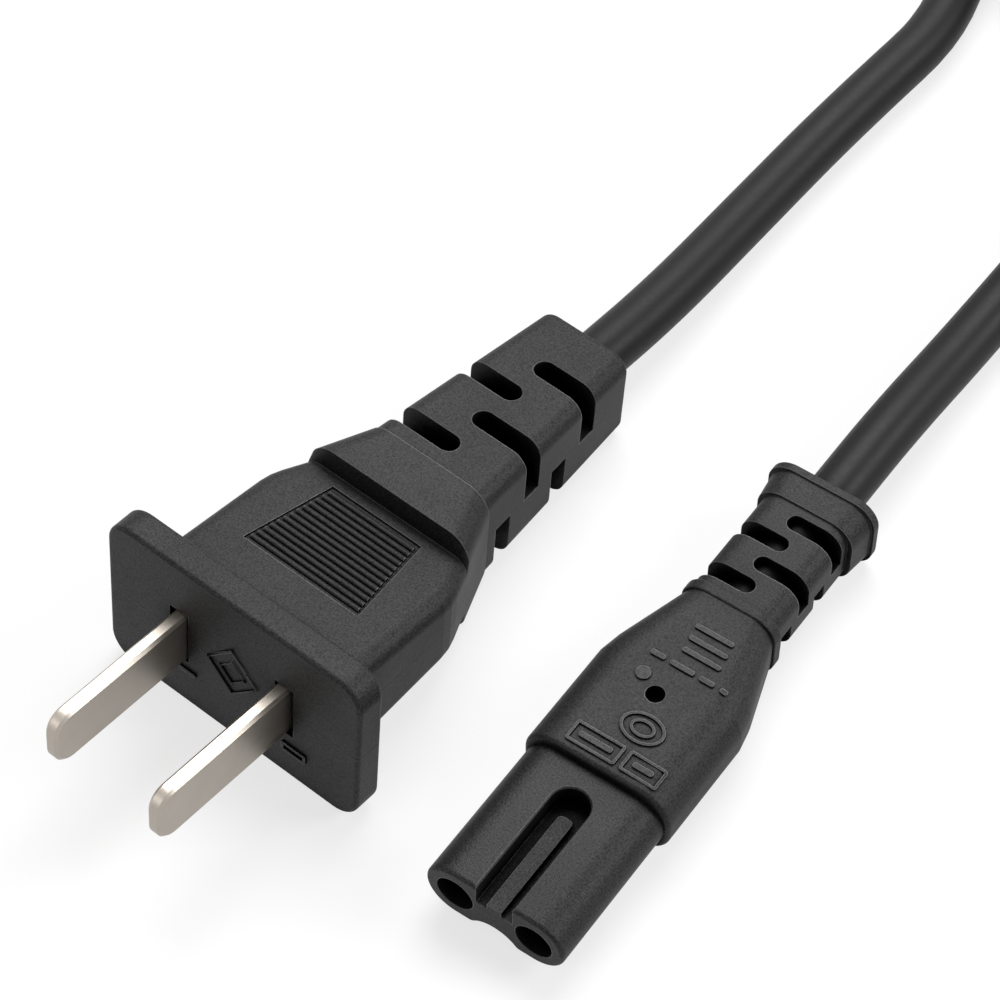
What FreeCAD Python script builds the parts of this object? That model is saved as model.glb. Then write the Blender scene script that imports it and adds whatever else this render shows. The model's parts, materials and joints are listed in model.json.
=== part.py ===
"""Mains lead with a figure-eight connector on one end and a two-blade plug on the other.

Millimetres. The connector lies along Y with its mouth towards -Y, its middle over the origin and its underside
on the plane z = 0. The plug lies beside it on the same plane, and the spare cord is a tied coil behind both.
Each moulding is drawn about its own axis, y running back from its front face, and is then put in its place.
"""
import FreeCAD, Part
import math
import os
import Sketcher
from FreeCAD import Placement, Rotation, Vector

# Driving dimensions: name, value in millimetres or degrees
SIZES = [
    # cable and what is inside it
    ("cable_diameter", 5.7),
    ("core_diameter", 2.2),
    ("wire_diameter", 1.1),
    ("core_spacing", 2.3),
    # figure-eight nose of the connector
    ("pin_pitch", 8.6),
    ("lobe_radius", 3.25),
    ("nose_length", 16.2),
    ("nose_edge_radius", 0.4),
    ("hole_diameter", 4.0),
    ("hole_depth", 3.0),
    ("throat_diameter", 2.9),
    ("throat_length", 1.2),
    ("groove_width", 4.0),
    ("groove_length", 13.9),
    ("groove_floor", 0.8),
    ("groove_edge_chamfer", 0.15),
    ("rib_width", 1.6),
    ("rib_length", 11.6),
    ("rib_height", 0.7),
    ("rib_end_radius", 0.5),
    ("waist_radius", 3.0),
    ("waist_depth", 1.2),
    ("waist_blend", 0.9),
    ("tail_wall", 0.9),
    ("tail_length", 4.0),
    # brass contacts
    ("contact_bore", 2.5),
    ("contact_wall", 0.5),
    ("contact_length", 9.4),
    ("contact_web", 1.6),
    ("contact_lead_in", 0.25),
    ("barrel_diameter", 2.4),
    ("barrel_length", 5.0),
    ("core_gap", 1.4),
    # connector overmould
    ("body_width", 16.1),
    ("body_height", 8.7),
    ("body_side_radius", 3.7),
    ("body_straight", 12.3),
    ("body_knee_width", 15.2),
    ("body_knee_length", 2.3),
    ("body_taper", 7.7),
    ("body_rear_width", 10.1),
    ("body_rear_height", 7.9),
    ("body_rear_radius", 2.7),
    ("body_edge_radius", 0.5),
    ("bead_side_step", 0.25),
    ("bead_top_step", 0.2),
    ("bead_length", 1.2),
    ("bead_edge_radius", 0.18),
    ("relief_side_step", 0.25),
    ("relief_top_step", 0.1),
    ("relief_radius", 2.2),
    ("relief_length", 12.5),
    ("relief_slot_width", 1.85),
    ("relief_slot_pitch", 2.95),
    ("relief_slot_first", 1.8),
    ("relief_slot_past_middle", 0.9),
    ("collar_side_step", 0.6),
    ("collar_top_step", 0.2),
    ("collar_side_flare", 0.35),
    ("collar_top_flare", 0.1),
    ("collar_length", 3.0),
    ("lip_side_step", 0.3),
    ("lip_top_step", 0.2),
    ("lip_length", 0.9),
    ("lip_edge_radius", 0.2),
    ("pip_diameter", 1.9),
    ("pip_depth", 1.3),
    ("pip_from_shoulder", 9.7),
    ("connector_jacket_length", 20.0),
    # blades and the bridge that holds them
    ("blade_pitch", 12.7),
    ("blade_width", 6.35),
    ("blade_thickness", 1.5),
    ("blade_length", 17.2),
    ("blade_tip_radius", 2.2),
    ("blade_tip_chamfer", 0.3),
    ("blade_root", 8.0),
    ("blade_tang_width", 3.2),
    ("blade_tang_length", 3.6),
    ("blade_slot_gap", 0.2),
    ("blade_slot_relief", 0.6),
    ("blade_slot_depth", 0.5),
    ("carrier_width", 18.6),
    ("carrier_height", 8.6),
    ("carrier_radius", 1.5),
    ("carrier_depth", 1.6),
    ("carrier_length", 4.8),
    # plug overmould
    ("flange_width", 31.2),
    ("flange_height", 19.2),
    ("flange_thickness", 3.2),
    ("flange_radius", 2.9),
    ("flange_edge_radius", 0.45),
    ("shank_front_width", 23.8),
    ("shank_bend_width", 23.4),
    ("shank_bend_at", 17.7),
    ("shank_rear_width", 15.2),
    ("shank_end", 27.8),
    ("shank_height", 13.2),
    ("shank_edge_radius", 2.7),
    ("shank_bend_length", 2.4),
    ("ramp_front_height", 11.9),
    ("ramp_rear_height", 8.9),
    ("ramp_end", 21.6),
    ("ramp_wall_run", 0.5),
    ("ramp_edge_radius", 1.8),
    ("grip_front", 9.4),
    ("grip_rear", 20.3),
    ("grip_front_width", 14.2),
    ("grip_rear_width", 11.1),
    ("grip_recess", 0.22),
    ("grip_rib_count", 13),
    ("grip_rib_share", 0.8),
    ("grip_margin", 0.35),
    ("tail_relief_step", 0.35),
    ("tail_relief_rear_width", 10.8),
    ("tail_relief_rear_height", 10.5),
    ("tail_relief_radius", 1.9),
    ("tail_relief_edge_radius", 0.6),
    ("tail_relief_length", 24.2),
    ("tail_slot_width", 2.4),
    ("tail_slot_pitch", 4.7),
    ("tail_slot_first", 3.1),
    ("tail_slot_past_middle", 0.9),
    ("plug_jacket_length", 21.0),
    # where the plug lies
    ("plug_middle_x", -30.9),
    ("plug_middle_y", 2.6),
    ("plug_yaw", 4.8),
    # put-away cord
    ("cable_straight", 13.0),
    ("coil_x", -8.0),
    ("coil_y", 139.0),
    ("coil_mid_radius", 30.0),
    ("coil_turn_pitch", 5.8),
    ("coil_turns_wide", 3),
    ("coil_turns_high", 2),
    ("tie_width", 7.0),
    ("tie_thickness", 0.8),
    ("tie_angle", 90.0),
    ("connector_run_angle", 325.0),
    ("plug_run_angle", 215.0),
]

MARGIN = 4.0
ROUND_SHARE = 0.45
ROUND_RIM = 0.8

doc = FreeCAD.newDocument("figure_eight_lead")
sheet = doc.addObject("Spreadsheet::Sheet", "sizes")
for row, (name, value) in enumerate(SIZES, start=1):
    sheet.set("A%d" % row, name)
    sheet.set("B%d" % row, str(value))
    sheet.setAlias("B%d" % row, name)
doc.recompute()


class Size:
    """A number together with the expression that gives it from the sheet."""

    def __init__(self, value, text):
        self.value = float(value)
        self.text = text

    @staticmethod
    def of(other):
        if isinstance(other, Size):
            return other
        return Size(other, repr(float(other)))

    def join(self, other, sign, value):
        return Size(value, "(%s %s %s)" % (self.text, sign, other.text))

    def __add__(self, other):
        other = Size.of(other)
        return self.join(other, "+", self.value + other.value)

    def __sub__(self, other):
        other = Size.of(other)
        return self.join(other, "-", self.value - other.value)

    def __mul__(self, other):
        other = Size.of(other)
        return self.join(other, "*", self.value * other.value)

    def __truediv__(self, other):
        other = Size.of(other)
        return self.join(other, "/", self.value / other.value)

    def __neg__(self):
        return Size(-self.value, "(0 - %s)" % self.text)


def size(name):
    return Size(sheet.get(name), "sizes.%s" % name)


ZERO = Size(0.0, "0")


# Helpers for bodies and sketches

def stepped(section, side_step, top_step):
    """A section's width and height, grown by a named step on each side, and above and below."""
    width, height = section
    return width + side_step * 2, height + top_step * 2


def new_body(name):
    body = doc.addObject("PartDesign::Body", name)
    body.Label = name
    return body


def new_sketch(body, name, plane_role, offset=ZERO):
    """A sketch on one of the body's own planes, moved along that plane's normal."""
    sketch = body.newObject("Sketcher::SketchObject", name)
    plane = next(f for f in body.Origin.OriginFeatures if f.Role == plane_role)
    sketch.AttachmentSupport = (plane, [""])
    sketch.MapMode = "FlatFace"
    if offset is not ZERO:
        sketch.AttachmentOffset = Placement(Vector(0, 0, offset.value), Rotation())
        sketch.setExpression("AttachmentOffset.Base.z", offset.text)
    return sketch


def section_sketch(body, name, back):
    """A sketch across the moulding, at a distance back from its front face."""
    return new_sketch(body, name, "XZ_Plane", -back)


def add_dimension(sketch, kind, target, amount):
    index = sketch.addConstraint(Sketcher.Constraint(kind, *target, amount.value))
    sketch.setExpression("Constraints[%d]" % index, amount.text)


def pin_point(sketch, geometry, point, x, y):
    """Fix a point of the sketch by its two coordinates."""
    if x is ZERO:
        sketch.addConstraint(Sketcher.Constraint("PointOnObject", geometry, point, -2))
    else:
        add_dimension(sketch, "DistanceX", (-1, 1, geometry, point), x)
    if y is ZERO:
        sketch.addConstraint(Sketcher.Constraint("PointOnObject", geometry, point, -1))
    else:
        add_dimension(sketch, "DistanceY", (-1, 1, geometry, point), y)


def polygon(sketch, corners):
    """A closed outline of straight lines, each corner fixed by its own sizes."""
    points = [Vector(x.value, y.value, 0) for x, y in corners]
    count = len(points)
    lines = []
    for i in range(count):
        lines.append(sketch.addGeometry(Part.LineSegment(points[i], points[(i + 1) % count])))
    for i in range(count):
        following = lines[(i + 1) % count]
        sketch.addConstraint(Sketcher.Constraint("Coincident", lines[i], 2, following, 1))
    for line, (x, y) in zip(lines, corners):
        pin_point(sketch, line, 1, x, y)


def circle(sketch, x, y, diameter):
    center = Vector(x.value, y.value, 0)
    ring = sketch.addGeometry(Part.Circle(center, Vector(0, 0, 1), diameter.value / 2))
    add_dimension(sketch, "Diameter", (ring,), diameter)
    pin_point(sketch, ring, 3, x, y)


def rounded_rectangle(sketch, width, height, radius):
    """A rectangle about the sketch's origin with four equal round corners."""
    w, h, r = width.value / 2, height.value / 2, radius.value
    lines = [
        sketch.addGeometry(Part.LineSegment(Vector(-w + r, -h, 0), Vector(w - r, -h, 0))),
        sketch.addGeometry(Part.LineSegment(Vector(w, -h + r, 0), Vector(w, h - r, 0))),
        sketch.addGeometry(Part.LineSegment(Vector(w - r, h, 0), Vector(-w + r, h, 0))),
        sketch.addGeometry(Part.LineSegment(Vector(-w, h - r, 0), Vector(-w, -h + r, 0))),
    ]
    arcs = []
    for corner, (sx, sy) in enumerate(((1, -1), (1, 1), (-1, 1), (-1, -1))):
        start = -math.pi / 2 + corner * math.pi / 2
        round_corner = Part.Circle(Vector(sx * (w - r), sy * (h - r), 0), Vector(0, 0, 1), r)
        arcs.append(sketch.addGeometry(Part.ArcOfCircle(round_corner, start, start + math.pi / 2)))
    for i in range(4):
        sketch.addConstraint(Sketcher.Constraint("Tangent", lines[i], 2, arcs[i], 1))
        sketch.addConstraint(Sketcher.Constraint("Tangent", arcs[i], 2, lines[(i + 1) % 4], 1))
    for i in (0, 2):
        sketch.addConstraint(Sketcher.Constraint("Horizontal", lines[i]))
    for i in (1, 3):
        sketch.addConstraint(Sketcher.Constraint("Vertical", lines[i]))
    for arc in arcs[1:]:
        sketch.addConstraint(Sketcher.Constraint("Equal", arcs[0], arc))
    sketch.addConstraint(Sketcher.Constraint("Symmetric", arcs[0], 3, arcs[2], 3, -1, 1))
    add_dimension(sketch, "Radius", (arcs[0],), radius)
    add_dimension(sketch, "DistanceX", (lines[3], 1, lines[1], 1), width)
    add_dimension(sketch, "DistanceY", (lines[0], 1, lines[2], 1), height)


def stadium(sketch, pitch, radius):
    """Two half circles a pitch apart, joined by straight lines above and below."""
    half, r = pitch.value / 2, radius.value
    top = sketch.addGeometry(Part.LineSegment(Vector(half, r, 0), Vector(-half, r, 0)))
    low = sketch.addGeometry(Part.LineSegment(Vector(-half, -r, 0), Vector(half, -r, 0)))
    left_round = Part.Circle(Vector(-half, 0, 0), Vector(0, 0, 1), r)
    left = sketch.addGeometry(Part.ArcOfCircle(left_round, math.pi / 2, 3 * math.pi / 2))
    right_round = Part.Circle(Vector(half, 0, 0), Vector(0, 0, 1), r)
    right = sketch.addGeometry(Part.ArcOfCircle(right_round, -math.pi / 2, math.pi / 2))
    for first, second in ((top, left), (left, low), (low, right), (right, top)):
        sketch.addConstraint(Sketcher.Constraint("Tangent", first, 2, second, 1))
    sketch.addConstraint(Sketcher.Constraint("Horizontal", top))
    sketch.addConstraint(Sketcher.Constraint("Symmetric", left, 3, right, 3, -1, 1))
    add_dimension(sketch, "Radius", (left,), radius)
    add_dimension(sketch, "DistanceX", (left, 3, right, 3), pitch)


def slot(sketch, side, open_at, end_at, middle, width):
    """A slot with a round inner end: side is +1 when it opens towards +X and -1 towards -X."""
    r = width / 2
    center_x = (end_at + r) if side > 0 else (end_at - r)
    x0, x1, y = center_x.value, open_at.value, middle.value
    rr = r.value
    begin = math.pi / 2 if side > 0 else -math.pi / 2
    inner_round = Part.Circle(Vector(x0, y, 0), Vector(0, 0, 1), rr)
    inner = sketch.addGeometry(Part.ArcOfCircle(inner_round, begin, begin + math.pi))
    low = sketch.addGeometry(Part.LineSegment(Vector(x0, y - side * rr, 0), Vector(x1, y - side * rr, 0)))
    end = sketch.addGeometry(Part.LineSegment(Vector(x1, y - side * rr, 0), Vector(x1, y + side * rr, 0)))
    top = sketch.addGeometry(Part.LineSegment(Vector(x1, y + side * rr, 0), Vector(x0, y + side * rr, 0)))
    sketch.addConstraint(Sketcher.Constraint("Tangent", inner, 2, low, 1))
    sketch.addConstraint(Sketcher.Constraint("Coincident", low, 2, end, 1))
    sketch.addConstraint(Sketcher.Constraint("Coincident", end, 2, top, 1))
    sketch.addConstraint(Sketcher.Constraint("Tangent", top, 2, inner, 1))
    sketch.addConstraint(Sketcher.Constraint("Horizontal", low))
    sketch.addConstraint(Sketcher.Constraint("Vertical", end))
    add_dimension(sketch, "Radius", (inner,), r)
    pin_point(sketch, inner, 3, center_x, middle)
    add_dimension(sketch, "DistanceX", (-1, 1, end, 1), open_at)


def pad(body, name, sketch, length, backwards=True):
    feature = body.newObject("PartDesign::Pad", name)
    feature.Profile = sketch
    feature.setExpression("Length", length.text)
    feature.Length = length.value
    feature.Reversed = backwards
    return feature


def pad_both_ways(body, name, sketch, length):
    feature = pad(body, name, sketch, length, backwards=False)
    feature.Midplane = True
    return feature


def pocket(body, name, sketch, depth, towards_normal=False):
    feature = body.newObject("PartDesign::Pocket", name)
    feature.Profile = sketch
    feature.setExpression("Length", depth.text)
    feature.Length = depth.value
    feature.Reversed = towards_normal
    return feature


def loft(body, name, sections):
    feature = body.newObject("PartDesign::AdditiveLoft", name)
    feature.Profile = sections[0]
    feature.Sections = sections[1:]
    feature.Ruled = True
    return feature


def edges_where(feature, test):
    """Names of a feature's edges whose bounding box passes a test."""
    names = []
    for i, edge in enumerate(feature.Shape.Edges, start=1):
        if test(edge, edge.BoundBox):
            names.append("Edge%d" % i)
    if not names:
        raise RuntimeError("no edge found on " + feature.Name)
    return names


def rebuild(base):
    """Recompute, and stop at the feature that failed."""
    doc.recompute()
    if "Invalid" in base.State or base.Shape.isNull():
        raise RuntimeError("%s failed" % base.Name)


def fillet(body, name, base, test, radius):
    rebuild(base)
    feature = body.newObject("PartDesign::Fillet", name)
    feature.Base = (base, edges_where(base, test))
    feature.setExpression("Radius", radius.text)
    feature.Radius = radius.value
    return feature


def chamfer(body, name, base, test, amount):
    rebuild(base)
    feature = body.newObject("PartDesign::Chamfer", name)
    feature.Base = (base, edges_where(base, test))
    feature.setExpression("Size", amount.text)
    feature.Size = amount.value
    return feature


def near(a, b):
    return abs(a - b) < 1e-4


def lies_at(y):
    """Test for edges in the plane across the moulding at a distance back."""
    return lambda edge, box: near(box.YMin, y.value) and near(box.YMax, y.value)


def cut(name, base, tools):
    """The base with every tool taken out of it."""
    feature = doc.addObject("Part::Cut", name)
    feature.Label = name
    group = doc.addObject("Part::Compound", name + "_hollow")
    group.Links = tools
    feature.Base = base
    feature.Tool = group
    return feature


def plain_shape(name, shape, placement=Placement()):
    feature = doc.addObject("Part::Feature", name)
    feature.Label = name
    feature.Shape = shape
    feature.Placement = placement
    return feature


# Round things that follow a route

def rounded_route(points):
    """Straight runs joined by tangent arcs, each as large as its two runs allow. Returns edges and radii."""
    edges, radii = [], []
    start = points[0]
    for before, corner, after in zip(points, points[1:], points[2:]):
        come = (corner - before).normalize()
        leave = (after - corner).normalize()
        turn = come.getAngle(leave)
        cut_back = ROUND_SHARE * min((corner - before).Length, (after - corner).Length)
        radius = cut_back / math.tan(turn / 2)
        arc_start = corner - come * cut_back
        arc_end = corner + leave * cut_back
        inward = (leave - come).normalize()
        arc_middle = corner + inward * (radius / math.cos(turn / 2) - radius)
        edges.append(Part.LineSegment(start, arc_start).toShape())
        edges.append(Part.Arc(arc_start, arc_middle, arc_end).toShape())
        radii.append(radius)
        start = arc_end
    edges.append(Part.LineSegment(start, points[-1]).toShape())
    return edges, radii


def round_bar(edges, diameter):
    """A solid round bar along a route, with its volume compared with section times length."""
    wire = Part.Wire(edges)
    first = edges[0]
    along = first.tangentAt(first.FirstParameter)
    ring = Part.Wire(Part.makeCircle(diameter / 2, first.firstVertex(True).Point, along))
    bar = wire.makePipeShell([ring], True, False)
    expected = math.pi * diameter ** 2 / 4 * wire.Length
    if abs(bar.Volume - expected) > 0.01 * expected:
        raise RuntimeError("bar volume %.1f, expected %.1f" % (bar.Volume, expected))
    return bar


def core_route(side, crimp_x, crimp_y, bend_y, jacket_y, jacket_x):
    """Route of one core from its crimp to the end of the jacket."""
    straight = (jacket_y - bend_y) * 0.22
    return [
        Vector(side * crimp_x, crimp_y, 0),
        Vector(side * crimp_x, bend_y + straight, 0),
        Vector(side * jacket_x, jacket_y - straight, 0),
        Vector(side * jacket_x, jacket_y, 0),
    ]


def wire_and_core(name, side, crimp_x, wire_from, core_from, jacket_y, pose):
    """A bare wire from its crimp to the jacket's end, and the insulation on most of it."""
    wire_d = size("wire_diameter").value
    core_d = size("core_diameter").value
    jacket_x = size("core_spacing").value / 2
    wire_edges, _ = rounded_route(core_route(side, crimp_x, wire_from, core_from, jacket_y, jacket_x))
    core_edges, _ = rounded_route(core_route(side, crimp_x, core_from, core_from, jacket_y, jacket_x))
    wire = round_bar(wire_edges, wire_d)
    core = round_bar(core_edges, core_d).cut(wire)
    hand = "left" if side < 0 else "right"
    return [
        plain_shape("%s_wire_%s" % (name, hand), wire, pose),
        plain_shape("%s_core_%s" % (name, hand), core, pose),
    ]


# Connector: contacts, nose and overmould, drawn about the connector's axis

shoulder = size("nose_length")
knee_start = shoulder + size("body_straight")
knee_end = knee_start + size("body_knee_length")
body_end = knee_end + size("body_taper")
bead_end = body_end + size("bead_length")
relief_end = bead_end + size("relief_length")
collar_end = relief_end + size("collar_length")
connector_length = collar_end + size("lip_length")
connector_jacket_end = connector_length - size("connector_jacket_length")
rear_section = (size("body_rear_width"), size("body_rear_height"))
contact_front = size("hole_depth") + size("throat_length")
sleeve_end = contact_front + size("contact_length")
barrel_start = sleeve_end + size("contact_web")
barrel_end = barrel_start + size("barrel_length")
sleeve_radius = size("contact_bore") / 2 + size("contact_wall")

connector_pose = Placement(Vector(0, -connector_length.value / 2, size("body_height").value / 2), Rotation())


def make_contact(name, side):
    """Brass sleeve that grips a pin, with a crimp barrel behind it."""
    body = new_body(name)
    sketch = new_sketch(body, name + "_profile", "XY_Plane")
    bore = size("contact_bore") / 2
    lead = size("contact_lead_in")
    polygon(sketch, [
        (bore + lead, contact_front),
        (sleeve_radius, contact_front),
        (sleeve_radius, sleeve_end),
        (size("barrel_diameter") / 2, barrel_start),
        (size("barrel_diameter") / 2, barrel_end),
        (size("wire_diameter") / 2, barrel_end),
        (size("wire_diameter") / 2, barrel_start),
        (ZERO, barrel_start),
        (ZERO, sleeve_end),
        (bore, sleeve_end),
        (bore, contact_front + lead),
    ])
    turned = body.newObject("PartDesign::Revolution", name + "_turned")
    turned.Profile = sketch
    turned.ReferenceAxis = (sketch, ["V_Axis"])
    turned.Angle = 360
    offset = Vector(side * size("pin_pitch").value / 2, 0, 0)
    body.Placement = connector_pose.multiply(Placement(offset, Rotation()))
    return body


def make_nose(inner):
    """Figure-eight front: two lobes, pin holes, keying groove with its rib, and a waist underneath."""
    body = new_body("nose_moulding")
    pitch, lobe = size("pin_pitch"), size("lobe_radius")
    outline = section_sketch(body, "nose_outline", ZERO)
    stadium(outline, pitch, lobe)
    pad(body, "nose_front", outline, shoulder)

    waist_outline = section_sketch(body, "waist_outline", ZERO)
    waist_middle = lobe + size("waist_radius") - size("waist_depth")
    circle(waist_outline, ZERO, -waist_middle, size("waist_radius") * 2)
    waist = pocket(body, "waist", waist_outline, shoulder)
    underside = -lobe.value
    fillet(body, "waist_edges", waist, lambda edge, box: (
        near(box.ZMin, underside) and near(box.ZMax, underside) and near(box.XMin, box.XMax)
        and abs(box.XMin) < size("waist_radius").value), size("waist_blend"))

    tail_outline = section_sketch(body, "nose_tail_outline", shoulder)
    stadium(tail_outline, pitch, lobe - size("tail_wall"))
    pad(body, "nose_tail", tail_outline, size("tail_length"))

    floor = new_sketch(body, "groove_outline", "XY_Plane", size("groove_floor"))
    width = size("groove_width")
    make_groove_outline(floor, width, size("groove_length"))
    groove = pocket(body, "groove", floor, lobe, towards_normal=True)
    top = lobe.value
    chamfer(body, "groove_edges", groove, lambda edge, box: (
        near(box.ZMin, top) and near(box.ZMax, top) and box.YMax < size("groove_length").value + 0.01
        and abs(box.XMax) < width.value / 2 + 0.01 and abs(box.XMin) < width.value / 2 + 0.01),
        size("groove_edge_chamfer"))

    rib_outline = new_sketch(body, "rib_outline", "XY_Plane", size("groove_floor"))
    half_rib, rib_end = size("rib_width") / 2, size("rib_length")
    polygon(rib_outline, [(-half_rib, ZERO), (half_rib, ZERO), (half_rib, rib_end), (-half_rib, rib_end)])
    rib = pad(body, "rib", rib_outline, size("rib_height"), backwards=False)
    rib_floor = size("groove_floor").value
    fillet(body, "rib_end", rib, lambda edge, box: (
        near(box.YMin, rib_end.value) and near(box.YMax, rib_end.value) and box.ZMin > rib_floor - 0.01
        and near(box.XMin, box.XMax)), size("rib_end_radius"))

    holes = section_sketch(body, "hole_outline", ZERO)
    throats = section_sketch(body, "throat_outline", size("hole_depth"))
    for side in (-1, 1):
        circle(holes, pitch / 2 * side, ZERO, size("hole_diameter"))
        circle(throats, pitch / 2 * side, ZERO, size("throat_diameter"))
    pocket(body, "holes", holes, size("hole_depth"))
    throat = pocket(body, "throats", throats, size("throat_length") + size("contact_length"))
    lobe_edge = pitch.value / 2 + lobe.value
    fillet(body, "nose_edge", throat, lambda edge, box: (
        near(box.YMin, 0) and near(box.YMax, 0) and (near(box.XMax, lobe_edge) or near(box.XMin, -lobe_edge))),
        size("nose_edge_radius"))
    body.Placement = connector_pose
    return cut("connector_nose", body, inner)


def make_groove_outline(sketch, width, length):
    """Keying groove, open at the mouth, with a round far end."""
    r = width / 2
    middle = length - r
    rr, far = r.value, middle.value
    out = -size("nose_edge_radius")
    right = sketch.addGeometry(Part.LineSegment(Vector(rr, out.value, 0), Vector(rr, far, 0)))
    end_round = Part.Circle(Vector(0, far, 0), Vector(0, 0, 1), rr)
    end = sketch.addGeometry(Part.ArcOfCircle(end_round, 0, math.pi))
    left = sketch.addGeometry(Part.LineSegment(Vector(-rr, far, 0), Vector(-rr, out.value, 0)))
    mouth = sketch.addGeometry(Part.LineSegment(Vector(-rr, out.value, 0), Vector(rr, out.value, 0)))
    sketch.addConstraint(Sketcher.Constraint("Tangent", right, 2, end, 1))
    sketch.addConstraint(Sketcher.Constraint("Tangent", end, 2, left, 1))
    sketch.addConstraint(Sketcher.Constraint("Coincident", left, 2, mouth, 1))
    sketch.addConstraint(Sketcher.Constraint("Coincident", mouth, 2, right, 1))
    sketch.addConstraint(Sketcher.Constraint("Horizontal", mouth))
    sketch.addConstraint(Sketcher.Constraint("Vertical", right))
    add_dimension(sketch, "Radius", (end,), r)
    pin_point(sketch, end, 3, ZERO, middle)
    add_dimension(sketch, "DistanceY", (-1, 1, right, 1), out)


def relief_slots(body, prefix, first, pitch, width, past_middle, half_width, depth):
    """Slots that let a strain relief bend: on each half they come in from either side by turns."""
    open_at = half_width + MARGIN
    for level, half in ((1, "upper"), (-1, "lower")):
        sketch = new_sketch(body, "%s_%s_slots" % (prefix, half), "XY_Plane")
        for number in range(4):
            side = level * (-1 if number % 2 == 0 else 1)
            middle = first + pitch * number
            slot(sketch, side, open_at * side, past_middle * -side, middle, width)
        pocket(body, "%s_%s_cuts" % (prefix, half), sketch, depth, towards_normal=level > 0)


def make_connector_body(inner):
    """Soft overmould: rounded body, tapering rear, bead, slotted strain relief and flared collar."""
    body = new_body("connector_moulding")
    height = size("body_height")
    side_radius, rear_radius = size("body_side_radius"), size("body_rear_radius")
    stations = [
        ("front", shoulder, size("body_width"), height, side_radius),
        ("knee_front", knee_start, size("body_width"), height, side_radius),
        ("knee_rear", knee_end, size("body_knee_width"), height, side_radius),
        ("taper_front", knee_end, size("body_knee_width"), height, side_radius),
        ("taper_rear", body_end, *rear_section, rear_radius),
    ]
    sections = []
    for name, back, width, tall, radius in stations:
        sketch = section_sketch(body, "body_" + name, back)
        rounded_rectangle(sketch, width, tall, radius)
        sections.append(sketch)
    pad(body, "body_trunk", sections[0], size("body_straight"))
    loft(body, "body_knee", sections[1:3])
    loft(body, "body_taper_loft", sections[3:5])

    relief = stepped(rear_section, -size("relief_side_step"), -size("relief_top_step"))
    relief_sketch = section_sketch(body, "relief_section", body_end)
    rounded_rectangle(relief_sketch, *relief, size("relief_radius"))
    pad(body, "relief", relief_sketch, size("bead_length") + size("relief_length"))
    relief_slots(body, "relief", bead_end + size("relief_slot_first"), size("relief_slot_pitch"),
                 size("relief_slot_width"), size("relief_slot_past_middle"), relief[0] / 2, height)

    bead = stepped(rear_section, size("bead_side_step"), size("bead_top_step"))
    bead_sketch = section_sketch(body, "bead_section", body_end)
    rounded_rectangle(bead_sketch, *bead, rear_radius)
    pad(body, "bead", bead_sketch, size("bead_length"))

    collar_front = stepped(relief, size("collar_side_step"), size("collar_top_step"))
    collar_rear = stepped(collar_front, size("collar_side_flare"), size("collar_top_flare"))
    collar_front_sketch = section_sketch(body, "collar_front_section", relief_end)
    rounded_rectangle(collar_front_sketch, *collar_front, rear_radius)
    collar_rear_sketch = section_sketch(body, "collar_rear_section", collar_end)
    rounded_rectangle(collar_rear_sketch, *collar_rear, rear_radius)
    loft(body, "collar", [collar_front_sketch, collar_rear_sketch])
    lip = stepped(collar_rear, size("lip_side_step"), size("lip_top_step"))
    lip_sketch = section_sketch(body, "lip_section", collar_end)
    rounded_rectangle(lip_sketch, *lip, rear_radius)
    pad(body, "lip", lip_sketch, size("lip_length"))

    pip_sketch = new_sketch(body, "pip_outline", "XY_Plane", height / 2)
    circle(pip_sketch, ZERO, shoulder + size("pip_from_shoulder"), size("pip_diameter"))
    pip = pocket(body, "pip", pip_sketch, size("pip_depth"))

    front_edge = fillet(body, "shoulder_edge", pip, lies_at(shoulder), size("body_edge_radius"))
    bead_edges = fillet(body, "bead_edges", front_edge, lambda edge, box: (
        (lies_at(body_end)(edge, box) or lies_at(bead_end)(edge, box))
        and on_outline(edge, *bead, rear_radius)), size("bead_edge_radius"))
    fillet(body, "lip_edges", bead_edges, lambda edge, box: (
        lies_at(connector_length)(edge, box) and on_outline(edge, *lip, rear_radius)), size("lip_edge_radius"))
    body.Placement = connector_pose
    return cut("connector_body", body, inner)


def on_outline(edge, width, height, radius):
    """True when an edge's middle lies on a rounded rectangle."""
    middle = edge.valueAt((edge.FirstParameter + edge.LastParameter) / 2)
    x, z, r = abs(middle.x), abs(middle.z), radius.value
    corner_x, corner_z = width.value / 2 - r, height.value / 2 - r
    if x > corner_x and z > corner_z:
        return abs(math.hypot(x - corner_x, z - corner_z) - r) < 0.01
    return near(x, width.value / 2) or near(z, height.value / 2)


jacket_bore = doc.addObject("Part::Cylinder", "connector_jacket_bore")
jacket_bore.setExpression("Radius", (size("cable_diameter") / 2).text)
jacket_bore.setExpression("Height", (size("connector_jacket_length") + MARGIN).text)
jacket_bore.Placement = connector_pose.multiply(
    Placement(Vector(0, connector_jacket_end.value, 0), Rotation(Vector(1, 0, 0), -90)))

contact_pair = [make_contact("contact_left", -1), make_contact("contact_right", 1)]
connector_wires = []
for hand_side in (-1, 1):
    connector_wires += wire_and_core(
        "connector", hand_side, size("pin_pitch").value / 2, barrel_start.value,
        barrel_end.value + size("core_gap").value, connector_jacket_end.value, connector_pose)
nose = make_nose(contact_pair + connector_wires)
connector_body = make_connector_body([nose] + contact_pair + connector_wires + [jacket_bore])


# Plug: blades, bridge and overmould, drawn about the plug's axis

plug_length = size("shank_end") + size("tail_relief_length")
plug_jacket_end = plug_length - size("plug_jacket_length")
tang_end = size("blade_root") + size("blade_tang_length")
plug_barrel_end = tang_end + size("barrel_length")

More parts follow.
